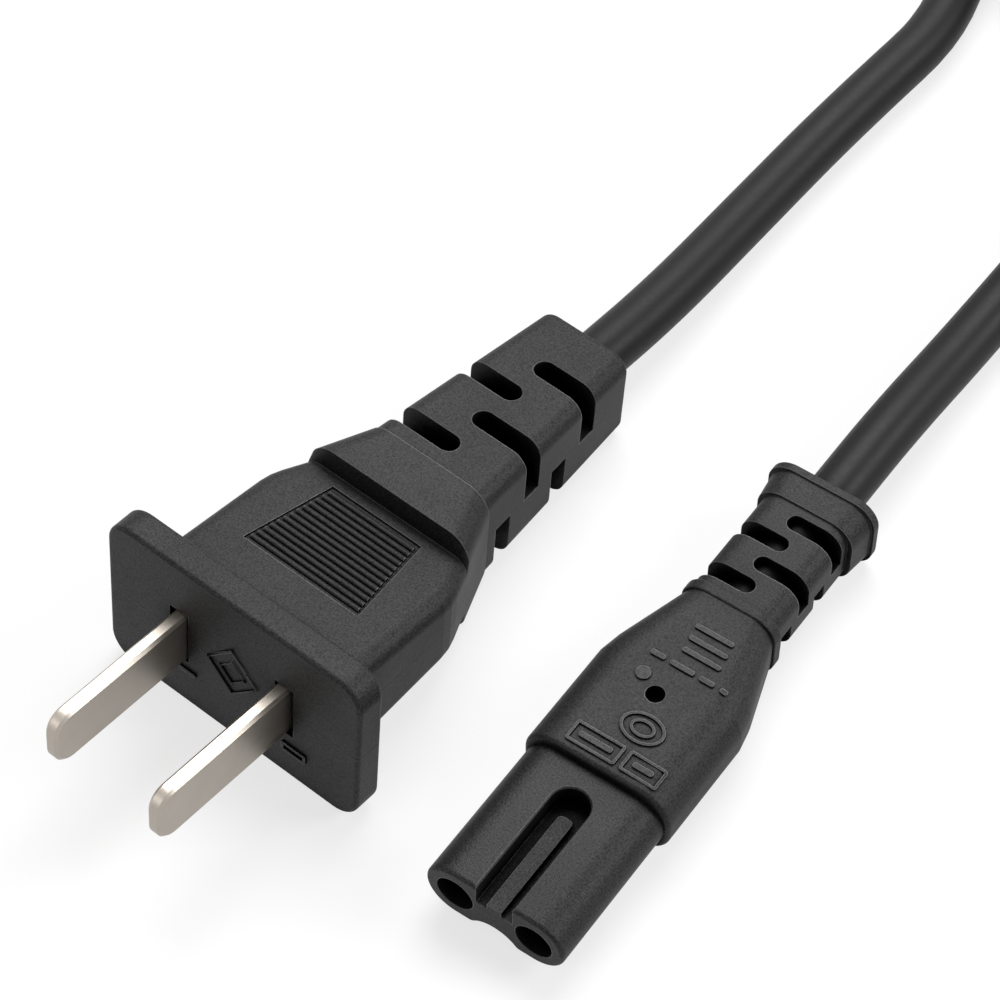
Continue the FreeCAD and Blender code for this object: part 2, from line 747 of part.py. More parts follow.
# The plug rests on the rear edge of its flange and on the end of its strain relief, so its blades point up a little.
rest_drop = (size("flange_height").value - size("tail_relief_rear_height").value) / 2
rest_run = plug_length.value - size("flange_thickness").value
plug_tilt = math.atan2(rest_drop, rest_run)
plug_rise = (size("flange_thickness").value * math.sin(plug_tilt)
             + size("flange_height").value / 2 * math.cos(plug_tilt))
plug_turn = Rotation(Vector(0, 0, 1), -size("plug_yaw").value).multiply(
    Rotation(Vector(1, 0, 0), -math.degrees(plug_tilt)))
plug_back = plug_turn.multVec(Vector(0, 1, 0))
plug_middle = Vector(size("plug_middle_x").value, size("plug_middle_y").value, 0)
plug_face = plug_middle - Vector(plug_back.x, plug_back.y, 0) * (plug_length.value / 2)
plug_pose = Placement(Vector(plug_face.x, plug_face.y, plug_rise), plug_turn)


def make_blade(name, side):
    """Flat blade with a round-cornered tip, a narrow tang and a crimp barrel."""
    body = new_body(name)
    half, tang = size("blade_width") / 2, size("blade_tang_width") / 2
    outline = new_sketch(body, name + "_outline", "YZ_Plane")
    polygon(outline, [
        (-size("blade_length"), -half), (size("blade_root"), -half), (size("blade_root"), -tang), (tang_end, -tang),
        (tang_end, tang), (size("blade_root"), tang), (size("blade_root"), half), (-size("blade_length"), half)])
    flat = pad_both_ways(body, name + "_flat", outline, size("blade_thickness"))
    tip = -size("blade_length").value
    rounded = fillet(body, name + "_tip", flat, lambda edge, box: (
        near(box.YMin, tip) and near(box.YMax, tip) and near(box.ZMin, box.ZMax)), size("blade_tip_radius"))
    flat_reach = half.value - size("blade_tip_radius").value
    chamfer(body, name + "_tip_edges", rounded, lambda edge, box: (
        near(box.XMin, box.XMax) and near(box.YMin, tip) and near(box.YMax, tip)
        and box.ZMax < flat_reach + 0.01), size("blade_tip_chamfer"))
    barrel = section_sketch(body, name + "_barrel_ring", tang_end)
    circle(barrel, ZERO, ZERO, size("barrel_diameter"))
    circle(barrel, ZERO, ZERO, size("wire_diameter"))
    pad(body, name + "_barrel", barrel, size("barrel_length"))
    offset = Vector(side * size("blade_pitch").value / 2, 0, 0)
    body.Placement = plug_pose.multiply(Placement(offset, Rotation()))
    return body


def make_carrier(blades):
    """Moulded bridge round the two blades, hidden in the plug."""
    body = new_body("carrier_moulding")
    outline = section_sketch(body, "carrier_outline", size("carrier_depth"))
    rounded_rectangle(outline, size("carrier_width"), size("carrier_height"), size("carrier_radius"))
    pad(body, "carrier_block", outline, size("carrier_length"))
    body.Placement = plug_pose
    return cut("plug_carrier", body, blades)


def make_plug_moulding():
    """Soft overmould: face flange, tapering shank with ramps, and slotted strain relief."""
    body = new_body("plug_moulding")
    thickness, end = size("flange_thickness"), size("shank_end")
    face = section_sketch(body, "flange_outline", ZERO)
    rounded_rectangle(face, size("flange_width"), size("flange_height"), size("flange_radius"))

    pad(body, "flange", face, thickness)

    front, bend, rear = size("shank_front_width"), size("shank_bend_width"), size("shank_rear_width")
    bend_at, half_bend = size("shank_bend_at"), size("shank_bend_length") / 2
    ramp_end, wall_top = size("ramp_end"), size("ramp_end") + size("ramp_wall_run")
    ramp_fall = (size("ramp_front_height") - size("ramp_rear_height")) / (ramp_end - thickness)
    front_taper = (front - bend) / (bend_at - thickness)
    rear_taper = (bend - rear) / (end - bend_at)
    ramp_radius, barrel_radius = size("ramp_edge_radius"), size("shank_edge_radius")
    ramp_stations = [
        (thickness, front),
        (bend_at - half_bend, bend + front_taper * half_bend),
        (bend_at, bend - (rear_taper - front_taper) * half_bend / 4),
        (bend_at + half_bend, bend - rear_taper * half_bend),
        (ramp_end, bend - rear_taper * (ramp_end - bend_at)),
    ]
    stations = []
    for back, width in ramp_stations:
        tall = size("ramp_front_height") - ramp_fall * (back - thickness)
        stations.append((back, width, tall, ramp_radius))
    for back in (wall_top, end):
        stations.append((back, bend - rear_taper * (back - bend_at), size("shank_height"), barrel_radius))
    sections = []
    for number, (back, width, tall, radius) in enumerate(stations):
        sketch = section_sketch(body, "shank_section_%d" % number, back)
        rounded_rectangle(sketch, width, tall, radius)
        sections.append(sketch)
    loft(body, "shank", sections)

    relief = stepped((rear, size("shank_height")), -size("tail_relief_step"), -size("tail_relief_step"))
    relief_front = section_sketch(body, "tail_relief_front", end)
    rounded_rectangle(relief_front, *relief, size("tail_relief_radius"))
    relief_rear = section_sketch(body, "tail_relief_rear", plug_length)
    rounded_rectangle(relief_rear, size("tail_relief_rear_width"), size("tail_relief_rear_height"),
                      size("tail_relief_radius"))
    loft(body, "tail_relief", [relief_front, relief_rear])
    relief_slots(body, "tail", end + size("tail_slot_first"), size("tail_slot_pitch"), size("tail_slot_width"),
                 size("tail_slot_past_middle"), relief[0] / 2, size("shank_height"))

    relief_pocket = section_sketch(body, "blade_slot_outline", ZERO)
    tall = size("blade_width") / 2 + size("blade_slot_gap")
    middle, thick = size("blade_pitch") / 2, size("blade_thickness") / 2
    for side in (-1, 1):
        inner = (middle - thick - size("blade_slot_gap")) * side
        outer = (middle + thick + size("blade_slot_relief")) * side
        polygon(relief_pocket, [(inner, -tall), (outer, -tall), (outer, tall), (inner, tall)])
    slots = pocket(body, "blade_slots", relief_pocket, size("blade_slot_depth"))

    flange_edges = fillet(body, "flange_edges", slots, lambda edge, box: (
        (lies_at(ZERO)(edge, box) or lies_at(thickness)(edge, box))
        and on_outline(edge, size("flange_width"), size("flange_height"), size("flange_radius"))),
        size("flange_edge_radius"))
    fillet(body, "tail_end_edges", flange_edges, lambda edge, box: (
        lies_at(plug_length)(edge, box)
        and on_outline(edge, size("tail_relief_rear_width"), size("tail_relief_rear_height"),
                       size("tail_relief_radius"))), size("tail_relief_edge_radius"))
    return body


def make_grip(level):
    """Ribbed panel let into one ramp: returns the recess and the ribs that stand in it."""
    name = "upper" if level > 0 else "lower"
    start, stop = size("grip_front"), size("grip_rear")
    front, rear = size("grip_front_width") / 2, size("grip_rear_width") / 2
    slope = math.atan2((size("ramp_front_height").value - size("ramp_rear_height").value) / 2,
                       size("ramp_end").value - size("flange_thickness").value)
    surface = size("ramp_front_height").value / 2 + size("flange_thickness").value * math.tan(slope)
    lean = Placement(Vector(0, 0, surface), Rotation(Vector(1, 0, 0), -math.degrees(slope)))
    if level < 0:
        lean = Placement(Vector(0, 0, 0), Rotation(Vector(0, 1, 0), 180)).multiply(lean)

    panels = []
    margin = size("grip_margin")
    for kind, edge in (("recess", ZERO), ("field", margin)):
        outline = doc.addObject("Sketcher::SketchObject", "grip_%s_%s" % (name, kind))
        polygon(outline, [
            (-(front - edge), start + edge), (front - edge, start + edge),
            (rear - edge, stop - edge), (-(rear - edge), stop - edge)])
        panel = doc.addObject("Part::Extrusion", "grip_%s_%s_block" % (name, kind))
        panel.Base = outline
        panel.DirMode = "Normal"
        panel.Solid = True
        panel.setExpression("LengthRev", size("grip_recess").text)
        panel.setExpression("LengthFwd", (size("grip_recess") * 2).text)
        panel.Placement = lean
        panels.append(panel)
    recess, field = panels

    count = int(size("grip_rib_count").value)
    pitch = (stop - start - margin * 2) / size("grip_rib_count")
    bars = []
    for number in range(count):
        bar = doc.addObject("Part::Cylinder", "grip_%s_bar_%d" % (name, number))
        bar.setExpression("Radius", (pitch * size("grip_rib_share") / 2).text)
        bar.setExpression("Height", size("grip_front_width").text)
        at = (start + margin + pitch * (number + 0.5)).value
        bar.Placement = lean.multiply(
            Placement(Vector(-size("grip_front_width").value / 2, at, -size("grip_recess").value),
                      Rotation(Vector(0, 1, 0), 90)))
        bars.append(bar)
    rack = doc.addObject("Part::Compound", "grip_%s_bars" % name)
    rack.Links = bars
    ribs = doc.addObject("Part::Common", "grip_%s_ribs" % name)
    ribs.Base = field
    ribs.Tool = rack
    return recess, ribs


def make_plug_body(inner):
    moulding = make_plug_moulding()
    recesses, ribs = [], []
    for level in (1, -1):
        recess, rib_set = make_grip(level)
        recesses.append(recess)
        ribs.append(rib_set)
    hollowed = cut("plug_recessed", moulding, recesses)
    ribbed = doc.addObject("Part::MultiFuse", "plug_ribbed")
    ribbed.Shapes = [hollowed] + ribs
    ribbed.Placement = plug_pose
    return cut("plug_body", ribbed, inner)


plug_bore = doc.addObject("Part::Cylinder", "plug_jacket_bore")
plug_bore.setExpression("Radius", (size("cable_diameter") / 2).text)
plug_bore.setExpression("Height", (size("plug_jacket_length") + MARGIN).text)
plug_bore.Placement = plug_pose.multiply(
    Placement(Vector(0, plug_jacket_end.value, 0), Rotation(Vector(1, 0, 0), -90)))

blade_pair = [make_blade("blade_left", -1), make_blade("blade_right", 1)]
plug_wires = []
for hand_side in (-1, 1):
    plug_wires += wire_and_core(
        "plug", hand_side, size("blade_pitch").value / 2, tang_end.value,
        plug_barrel_end.value + size("core_gap").value, plug_jacket_end.value, plug_pose)
carrier = make_carrier(blade_pair)
plug_body = make_plug_body(blade_pair + [carrier] + plug_wires + [plug_bore])


# Cord: two free stretches, the put-away coil between them and its tie

cable = size("cable_diameter").value
lie = cable / 2
straight = size("cable_straight").value
coil_center = Vector(size("coil_x").value, size("coil_y").value, 0)
turns_wide = int(size("coil_turns_wide").value)
turns_high = int(size("coil_turns_high").value)
turn_pitch = size("coil_turn_pitch").value
coil_mid = size("coil_mid_radius").value
outer_turn = coil_mid + turn_pitch * (turns_wide - 1) / 2
coil_half_width = turn_pitch * (turns_wide - 1) / 2 + cable / 2
coil_bottom = size("tie_thickness").value
coil_height = cable * turns_high
low_turn = coil_bottom + lie
high_turn = coil_bottom + coil_height - lie

connector_exit = connector_pose.multVec(Vector(0, connector_length.value, 0))
plug_exit = plug_pose.multVec(Vector(0, plug_length.value, 0))


def on_outer_turn(angle_name, height):
    """Where a free stretch joins the coil's outer turn."""
    angle = math.radians(size(angle_name).value)
    return coil_center + Vector(outer_turn * math.cos(angle), outer_turn * math.sin(angle), height)


# Chosen points of the free stretches, each from its strain relief to the coil
CONNECTOR_ROUTE = [
    connector_exit,
    connector_exit + Vector(0, straight, 0),
    Vector(0.3, 56.0, lie + 0.1),
    Vector(1.2, 78.0, lie + 1.2),
    Vector(7.5, 98.8, high_turn - 0.1),
    on_outer_turn("connector_run_angle", high_turn),
]
PLUG_ROUTE = [
    plug_exit,
    plug_exit + plug_back * straight,
    Vector(-27.4, 58.0, lie + 0.05),
    Vector(-26.6, 74.5, lie),
    Vector(-24.2, 98.6, lie + 0.1),
    on_outer_turn("plug_run_angle", low_turn),
]


def free_stretch(name, route, jacket_end):
    """Cable from the end of its jacket inside a moulding to the coil."""
    edges, radii = rounded_route(route)
    print(name, "radii", " ".join("%.1f" % r for r in radii))
    edges[0] = Part.LineSegment(jacket_end, edges[0].lastVertex(True).Point).toShape()
    return plain_shape(name, round_bar(edges, cable))


connector_run = free_stretch("cord_connector_run", CONNECTOR_ROUTE,
                             connector_pose.multVec(Vector(0, connector_jacket_end.value, 0)))
plug_run = free_stretch("cord_plug_run", PLUG_ROUTE, plug_pose.multVec(Vector(0, plug_jacket_end.value, 0)))


def make_coil():
    """Outer shape of the wound cord: a ring with round edges."""
    low = Vector(coil_mid - coil_half_width, 0, coil_bottom)
    section = Part.makePlane(2 * coil_half_width, coil_height, low, Vector(0, -1, 0), Vector(1, 0, 0))
    ring = section.revolve(Vector(0, 0, 0), Vector(0, 0, 1), 360)
    rims = [edge for edge in ring.Edges if isinstance(edge.Curve, Part.Circle)]
    ring = ring.makeFillet(ROUND_RIM * lie, rims)
    ring.translate(coil_center)
    return ring


def make_tie(ring):
    """Strap round the coil's section."""
    thickness, width = size("tie_thickness").value, size("tie_width").value
    block = Part.makeBox(2 * (coil_half_width + thickness), width, coil_height + 2 * thickness,
                         Vector(coil_mid - coil_half_width - thickness, -width / 2, coil_bottom - thickness))
    edges = [edge for edge in block.Edges if near(edge.BoundBox.YLength, width)]
    block = block.makeFillet(ROUND_RIM * lie + thickness, edges)
    block.rotate(Vector(0, 0, 0), Vector(0, 0, 1), size("tie_angle").value)
    block.translate(coil_center)
    return block.cut(ring)


coil_ring = make_coil()
coil = plain_shape("cord_coil", coil_ring.cut(connector_run.Shape).cut(plug_run.Shape))
tie = plain_shape("coil_tie", make_tie(coil_ring))

doc.recompute()

# Check every object, then write each sub-part

for item in doc.Objects:
    if "Invalid" in item.State or "Error" in item.State:
        raise RuntimeError("%s failed: %s" % (item.Name, item.State))

sub_parts = (
    [nose, connector_body] + contact_pair + connector_wires
    + blade_pair + [carrier, plug_body] + plug_wires
    + [connector_run, plug_run, coil, tie])
os.makedirs("parts", exist_ok=True)
for part in sub_parts:
    shape = part.Shape
    if shape.isNull() or not shape.isValid():
        raise RuntimeError("bad shape: " + part.Label)
    shape.exportStep("parts/%s.step" % part.Label)
    print("%-24s solids %d volume %9.2f" % (part.Label, len(shape.Solids), shape.Volume))
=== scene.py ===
"""Looks of a moulded mains lead: figure-eight connector, round cord and two-blade plug, lying on a table.

Metres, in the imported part's own frame: the connector lies along Y with its mouth towards -Y, the plug lies beside
it, and the spare cord is a tied coil behind both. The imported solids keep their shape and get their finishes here.
The cord is drawn again as one smooth line.
"""

import json
import math

import bpy
from bpy.props import FloatProperty, FloatVectorProperty, PointerProperty
from mathutils import Matrix, Vector


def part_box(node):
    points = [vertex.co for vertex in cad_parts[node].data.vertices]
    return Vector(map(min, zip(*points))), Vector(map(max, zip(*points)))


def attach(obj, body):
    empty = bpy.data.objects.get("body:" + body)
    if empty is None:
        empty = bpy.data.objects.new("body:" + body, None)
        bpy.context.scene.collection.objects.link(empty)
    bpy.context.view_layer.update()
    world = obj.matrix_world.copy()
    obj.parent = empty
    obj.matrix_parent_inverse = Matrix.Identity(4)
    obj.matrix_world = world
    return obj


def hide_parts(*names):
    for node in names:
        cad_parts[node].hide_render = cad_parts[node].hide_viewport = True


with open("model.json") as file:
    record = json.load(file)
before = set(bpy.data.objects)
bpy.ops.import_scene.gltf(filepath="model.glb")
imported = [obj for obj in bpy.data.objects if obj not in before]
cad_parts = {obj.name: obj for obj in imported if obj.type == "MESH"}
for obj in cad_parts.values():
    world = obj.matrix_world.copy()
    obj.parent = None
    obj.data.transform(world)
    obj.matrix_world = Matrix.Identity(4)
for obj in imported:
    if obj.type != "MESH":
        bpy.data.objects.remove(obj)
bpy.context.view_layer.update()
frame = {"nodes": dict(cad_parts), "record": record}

bl_info = {
    "name": "Moulded mains lead",
    "version": (1, 0, 0),
    "blender": (4, 5, 0),
    "location": "View3D > Sidebar > Mains Lead",
    "description": "Finishes, cord, plain mould marks and studio for a figure-eight mains lead",
    "category": "Object",
}

MM = 0.001
IMAGE_SIDE = 1000
SENSOR = 36.0

# The plug's pose, from the mount on its face: y runs back from the face, x to the right, z up
BLADES = next(m for m in frame["record"]["mounts"] if m["name"] == "plug_blades")
PLUG_FACE = Vector(BLADES["pos_m"])
PLUG_BACK = -Vector(BLADES["axis"]).normalized()
PLUG_RIGHT = PLUG_BACK.cross(Vector((0, 0, 1))).normalized()
PLUG_UP = PLUG_RIGHT.cross(PLUG_BACK)
PLUG_POSE = Matrix.Translation(PLUG_FACE) @ Matrix((PLUG_RIGHT, PLUG_BACK, PLUG_UP)).transposed().to_4x4()

# The connector's pose: y runs back from the mouth, z up from its axis
CONNECTOR_LOW = Vector(map(min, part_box("connector_nose")[0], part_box("connector_body")[0]))
CONNECTOR_HIGH = Vector(map(max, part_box("connector_nose")[1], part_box("connector_body")[1]))
CONNECTOR_AXIS = (CONNECTOR_LOW.z + CONNECTOR_HIGH.z) / 2
CONNECTOR_POSE = Matrix.Translation((0, CONNECTOR_LOW.y, CONNECTOR_AXIS))


def length(name, description, millimetres):
    return FloatProperty(name=name, description=description, default=millimetres * MM, unit="LENGTH",
                         subtype="DISTANCE", precision=5)


def colour(name, description, *rgb):
    return FloatVectorProperty(name=name, description=description, default=rgb, size=3, min=0, max=1,
                               subtype="COLOR")


class LeadSizes(bpy.types.PropertyGroup):
    """Sizes of what is drawn here."""
    cable_diameter: length("Cable diameter", "Outside of the round cable", 5.7)
    cable_length: length("Cable length", "Cable, with its ends inside the mouldings", 1292.0)
    cable_straight: length("Straight run", "Cable that runs straight out of each strain relief", 13.0)
    jacket_inside_connector: length("Jacket in connector", "Cable jacket inside the connector", 20.0)
    jacket_inside_plug: length("Jacket in plug", "Cable jacket inside the plug", 21.0)
    coil_mid_radius: length("Coil radius", "Middle of the coil's turns", 30.0)
    coil_turn_pitch: length("Turn pitch", "Step from one turn to the next", 5.8)
    coil_lift: length("Coil lift", "Strap thickness under the coil", 0.8)
    mark_height: length("Mark height", "How far the plain mould marks stand up", 0.2)
    mark_line: length("Mark line", "Line width of the plain mould marks", 0.3)
    mark_sink: length("Mark sink", "How far the mould marks reach into their moulding", 0.05)
    floor_reach: length("Floor reach", "Half the side of the floor", 4000.0)


class LeadColours(bpy.types.PropertyGroup):
    """Colours of the finishes."""
    moulding: colour("Moulding", "Soft black moulding", 0.0074, 0.0074, 0.0078)
    # Painted highlight: a light colour laid along the mouldings' sharp edges
    edge: colour("Edge", "Painted highlight on edges of the mouldings", 0.2, 0.2, 0.205)
    nose: colour("Nose", "Harder black front of the connector", 0.0072, 0.0072, 0.0076)
    jacket: colour("Jacket", "Cable jacket", 0.0065, 0.0065, 0.0068)
    nickel: colour("Nickel", "Plated blades", 0.43, 0.388, 0.34)
    brass: colour("Brass", "Pin contacts", 0.74, 0.54, 0.25)
    copper: colour("Copper", "Bare wires", 0.76, 0.40, 0.24)
    insulation: colour("Insulation", "Core insulation", 0.12, 0.12, 0.125)
    strap: colour("Strap", "Coil strap", 0.014, 0.014, 0.015)
    floor: colour("Floor", "Pale table top", 0.86, 0.86, 0.86)


def sizes():
    return bpy.context.scene.lead_sizes


def colours():
    return bpy.context.scene.lead_colours


# Finishes

def new_finish(name, base_colour, roughness, metallic=0.0, specular=0.5):
    """A material with its shader set, ready for nodes that vary it."""
    finish = bpy.data.materials.new(name)
    finish.use_nodes = True
    shader = finish.node_tree.nodes["Principled BSDF"]
    shader.inputs["Base Color"].default_value = (*base_colour, 1)
    shader.inputs["Roughness"].default_value = roughness
    shader.inputs["Metallic"].default_value = metallic
    shader.inputs["Specular IOR Level"].default_value = specular
    return finish, shader


def add_node(finish, kind, **inputs):
    """A node of a kind, with inputs set to numbers or linked to other nodes' outputs."""
    tree = finish.node_tree
    node = tree.nodes.new(kind)
    for name, value in inputs.items():
        socket = node.inputs[name.replace("_", " ")]
        if isinstance(value, bpy.types.NodeSocket):
            tree.links.new(value, socket)
        else:
            socket.default_value = value
    return node


def placed_coordinates(finish, pose=None, stretch=(1, 1, 1)):
    """Object coordinates, taken into a piece's own pose where one is given."""
    place = add_node(finish, "ShaderNodeTexCoord").outputs["Object"]
    if pose is None and stretch == (1, 1, 1):
        return place
    mapping = add_node(finish, "ShaderNodeMapping", Vector=place)
    if pose is not None:
        mapping.vector_type = "TEXTURE"
        mapping.inputs["Location"].default_value = pose.to_translation()
        mapping.inputs["Rotation"].default_value = pose.to_euler()
    if stretch == (1, 1, 1):
        return mapping.outputs["Vector"]
    stretched = add_node(finish, "ShaderNodeMapping", Vector=mapping.outputs["Vector"], Scale=stretch)
    return stretched.outputs["Vector"]


def noise(finish, place, grain, detail=2.0, roughness=0.5):
    """A noise whose grain is a length in metres."""
    node = add_node(finish, "ShaderNodeTexNoise", Vector=place, Scale=1 / grain, Detail=detail,
                    Roughness=roughness)
    return node.outputs["Fac"]


def spread(finish, source, low, high, start=0.3, stop=0.7):
    """A value between two limits, from a noise's middle range."""
    node = add_node(finish, "ShaderNodeMapRange", Value=source)
    node.inputs["From Min"].default_value = start
    node.inputs["From Max"].default_value = stop
    node.inputs["To Min"].default_value = low
    node.inputs["To Max"].default_value = high
    return node.outputs["Result"]


def blend_colours(finish, factor, first, second):
    """A mix of two colours. The first may also be another node's output."""
    node = finish.node_tree.nodes.new("ShaderNodeMix")
    node.data_type = "RGBA"
    finish.node_tree.links.new(factor, node.inputs["Factor"])
    if isinstance(first, bpy.types.NodeSocket):
        finish.node_tree.links.new(first, node.inputs["A"])
    else:
        node.inputs["A"].default_value = (*first, 1)
    node.inputs["B"].default_value = (*second, 1)
    return node.outputs["Result"]


def combine(finish, operation, first, second):
    """A sum, product or other operation on two values, each a number or another node's output."""
    node = finish.node_tree.nodes.new("ShaderNodeMath")
    node.operation = operation
    for socket, value in zip(node.inputs, (first, second)):
        if isinstance(value, bpy.types.NodeSocket):
            finish.node_tree.links.new(value, socket)
        else:
            socket.default_value = value
    return node.outputs["Value"]


def parting_line(finish, pose, width):
    """1 along the joint of the two mould halves, at mid-height of a moulding, and 0 elsewhere."""
    place = placed_coordinates(finish, pose)
    height = add_node(finish, "ShaderNodeSeparateXYZ", Vector=place).outputs["Z"]
    return spread(finish, combine(finish, "ABSOLUTE", height, 0.0), 1.0, 0.0, 0.0, width)


def painted_recess_shade(finish, reach):
    """1 on open faces, falling towards 0 deep in slots and recesses; colour and sheen multiplied by it get painted
    shade there.
    """
    node = add_node(finish, "ShaderNodeAmbientOcclusion", Distance=reach)
    node.samples = 6
    return spread(finish, node.outputs["AO"], 0.0, 1.0, 0.4, 0.85)


def edge_normals_and_highlight_mask(finish, reach):
    """Normals softened across sharp edges, and a value that is 1 along those edges and 0 on faces, which places a
    painted highlight along the edges.
    """
    softened = add_node(finish, "ShaderNodeBevel", Radius=reach).outputs["Normal"]
    likeness = finish.node_tree.nodes.new("ShaderNodeVectorMath")
    likeness.operation = "DOT_PRODUCT"
    finish.node_tree.links.new(softened, likeness.inputs[0])
    finish.node_tree.links.new(add_node(finish, "ShaderNodeNewGeometry").outputs["Normal"], likeness.inputs[1])
    return softened, spread(finish, likeness.outputs["Value"], 1.0, 0.0, 0.8, 0.98)


def moulded_finish(name, base_colour, pose, roughness=0.5, sheen=0.2):
    """Soft black plastic from a spark-eroded mould: fine even grain, faint clouding and a parting line, with
    painted shade in slots and recesses and a painted highlight along sharp edges.
    """
    finish, shader = new_finish(name, base_colour, roughness)
    place = placed_coordinates(finish)
    links = finish.node_tree.links
    clouds = noise(finish, place, 9 * MM, 3)
    grain = noise(finish, place, 0.2 * MM, 2)
    specks = noise(finish, place, 0.1 * MM, 1)
    line = parting_line(finish, pose, 0.09 * MM)
    # Painted shade: 1 on open faces and falling in slots and recesses; colour and sheen below are multiplied by it
    painted_shade_factor = painted_recess_shade(finish, 4 * MM)
    texture = combine(finish, "ADD", grain, combine(finish, "MULTIPLY", specks, 0.5))

    # Grain tone times the painted shade, so the darkest colour is reached in recesses
    tone_and_painted_shade = combine(finish, "MULTIPLY", spread(finish, texture, 0.5, 1.0, 0.55, 0.95), painted_shade_factor)
    deep = tuple(c * 0.12 for c in base_colour)
    lifted = tuple(c * 1.6 for c in base_colour)
    # Painted highlight: a light colour along sharp edges, kept out of the painted shade in recesses
    softened, edges = edge_normals_and_highlight_mask(finish, 0.2 * MM)
    painted_edge_highlight = combine(finish, "MULTIPLY", edges, painted_shade_factor)
    colour_with_painted_light = blend_colours(finish, painted_edge_highlight, blend_colours(finish, tone_and_painted_shade, deep, lifted), tuple(colours().edge))
    links.new(colour_with_painted_light, shader.inputs["Base Color"])
    shine = spread(finish, texture, sheen * 0.55, sheen * 1.45, 0.55, 0.95)
    # The sheen is also cut by the painted shade in recesses
    links.new(combine(finish, "MULTIPLY", shine, painted_shade_factor), shader.inputs["Specular IOR Level"])
    rough = combine(finish, "ADD", spread(finish, clouds, roughness - 0.04, roughness + 0.04),
                    spread(finish, grain, -0.05, 0.05))
    links.new(rough, shader.inputs["Roughness"])
    bump = add_node(finish, "ShaderNodeBump", Strength=0.5, Distance=0.05 * MM, Height=texture, Normal=softened)
    seam = add_node(finish, "ShaderNodeBump", Strength=0.6, Distance=0.06 * MM, Height=line)
    links.new(bump.outputs["Normal"], seam.inputs["Normal"])
    links.new(seam.outputs["Normal"], shader.inputs["Normal"])
    return finish


def jacket_finish():
    """Drawn cable jacket: smoother than the mouldings, with faint clouding and fine scuffs, and painted shade where
    it runs into slots and recesses.
    """
    base_colour = tuple(colours().jacket)
    finish, shader = new_finish("cable_jacket", base_colour, 0.46)
    place = placed_coordinates(finish)
    links = finish.node_tree.links
    clouds = noise(finish, place, 14 * MM, 3)
    grain = noise(finish, place, 0.5 * MM, 3)
    # Painted shade: 1 on open faces and falling in slots and recesses
    painted_shade_factor = painted_recess_shade(finish, 3 * MM)
    deep = tuple(c * 0.12 for c in base_colour)
    lifted = tuple(c * 1.25 for c in base_colour)
    # Clouded tone times the painted shade
    tone_and_painted_shade = combine(finish, "MULTIPLY", spread(finish, clouds, 0.75, 1.0), painted_shade_factor)
    links.new(blend_colours(finish, tone_and_painted_shade, deep, lifted), shader.inputs["Base Color"])
    # The sheen is cut by the same painted shade
    links.new(combine(finish, "MULTIPLY", painted_shade_factor, 0.15), shader.inputs["Specular IOR Level"])
    rough = combine(finish, "ADD", spread(finish, clouds, 0.43, 0.49), spread(finish, grain, -0.03, 0.03))
    links.new(rough, shader.inputs["Roughness"])
    bump = add_node(finish, "ShaderNodeBump", Strength=0.12, Distance=0.04 * MM, Height=grain)
    links.new(bump.outputs["Normal"], shader.inputs["Normal"])
    return finish


def brushed_nickel_finish():
    """Plated blades: fine brush lines along the blade, a little uneven in tone."""
    base_colour = tuple(colours().nickel)
    finish, shader = new_finish("brushed_nickel", base_colour, 0.39, metallic=1.0)
    links = finish.node_tree.links
    lines = noise(finish, placed_coordinates(finish, PLUG_POSE, (1.0, 0.02, 1.0)), 0.16 * MM, 3, 0.6)
    clouds = noise(finish, placed_coordinates(finish), 4 * MM, 3)
    dull = tuple(c * 0.86 for c in base_colour)
    tone = spread(finish, combine(finish, "ADD", combine(finish, "MULTIPLY", lines, 0.6),
                                  combine(finish, "MULTIPLY", clouds, 0.4)), 0, 1)
    links.new(blend_colours(finish, tone, dull, base_colour), shader.inputs["Base Color"])
    links.new(spread(finish, lines, 0.32, 0.46), shader.inputs["Roughness"])
    bump = add_node(finish, "ShaderNodeBump", Strength=0.15, Distance=0.02 * MM, Height=lines)
    links.new(bump.outputs["Normal"], shader.inputs["Normal"])
    return finish


def bright_metal_finish(name, base_colour, roughness):
    """Turned or drawn metal with faint tarnish."""
    finish, shader = new_finish(name, base_colour, roughness, metallic=1.0)
    links = finish.node_tree.links
    tarnish = noise(finish, placed_coordinates(finish), 1.2 * MM, 3)
    dull = tuple(c * 0.72 for c in base_colour)
    tone = blend_colours(finish, spread(finish, tarnish, 0, 1), base_colour, dull)
    links.new(tone, shader.inputs["Base Color"])
    links.new(spread(finish, tarnish, roughness - 0.06, roughness + 0.1), shader.inputs["Roughness"])
    return finish


def plain_plastic_finish(name, base_colour, roughness, grain):
    """Hidden or plain plastic with a fine grain."""
    finish, shader = new_finish(name, base_colour, roughness, specular=0.4)
    links = finish.node_tree.links
    texture = noise(finish, placed_coordinates(finish), grain, 3)
    lifted = tuple(c * 1.25 for c in base_colour)
    tone = blend_colours(finish, spread(finish, texture, 0, 1), base_colour, lifted)
    links.new(tone, shader.inputs["Base Color"])
    links.new(spread(finish, texture, roughness - 0.06, roughness + 0.06), shader.inputs["Roughness"])
    bump = add_node(finish, "ShaderNodeBump", Strength=0.2, Distance=0.05 * MM, Height=texture)
    links.new(bump.outputs["Normal"], shader.inputs["Normal"])
    return finish


def give_finish(piece, finish):
    """Make one finish the only one on a piece."""
    piece.data.materials.clear()
    piece.data.materials.append(finish)


def finish_nodes(finish, *names):
    """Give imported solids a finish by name."""
    for name in names:
        give_finish(frame["nodes"][name], finish)


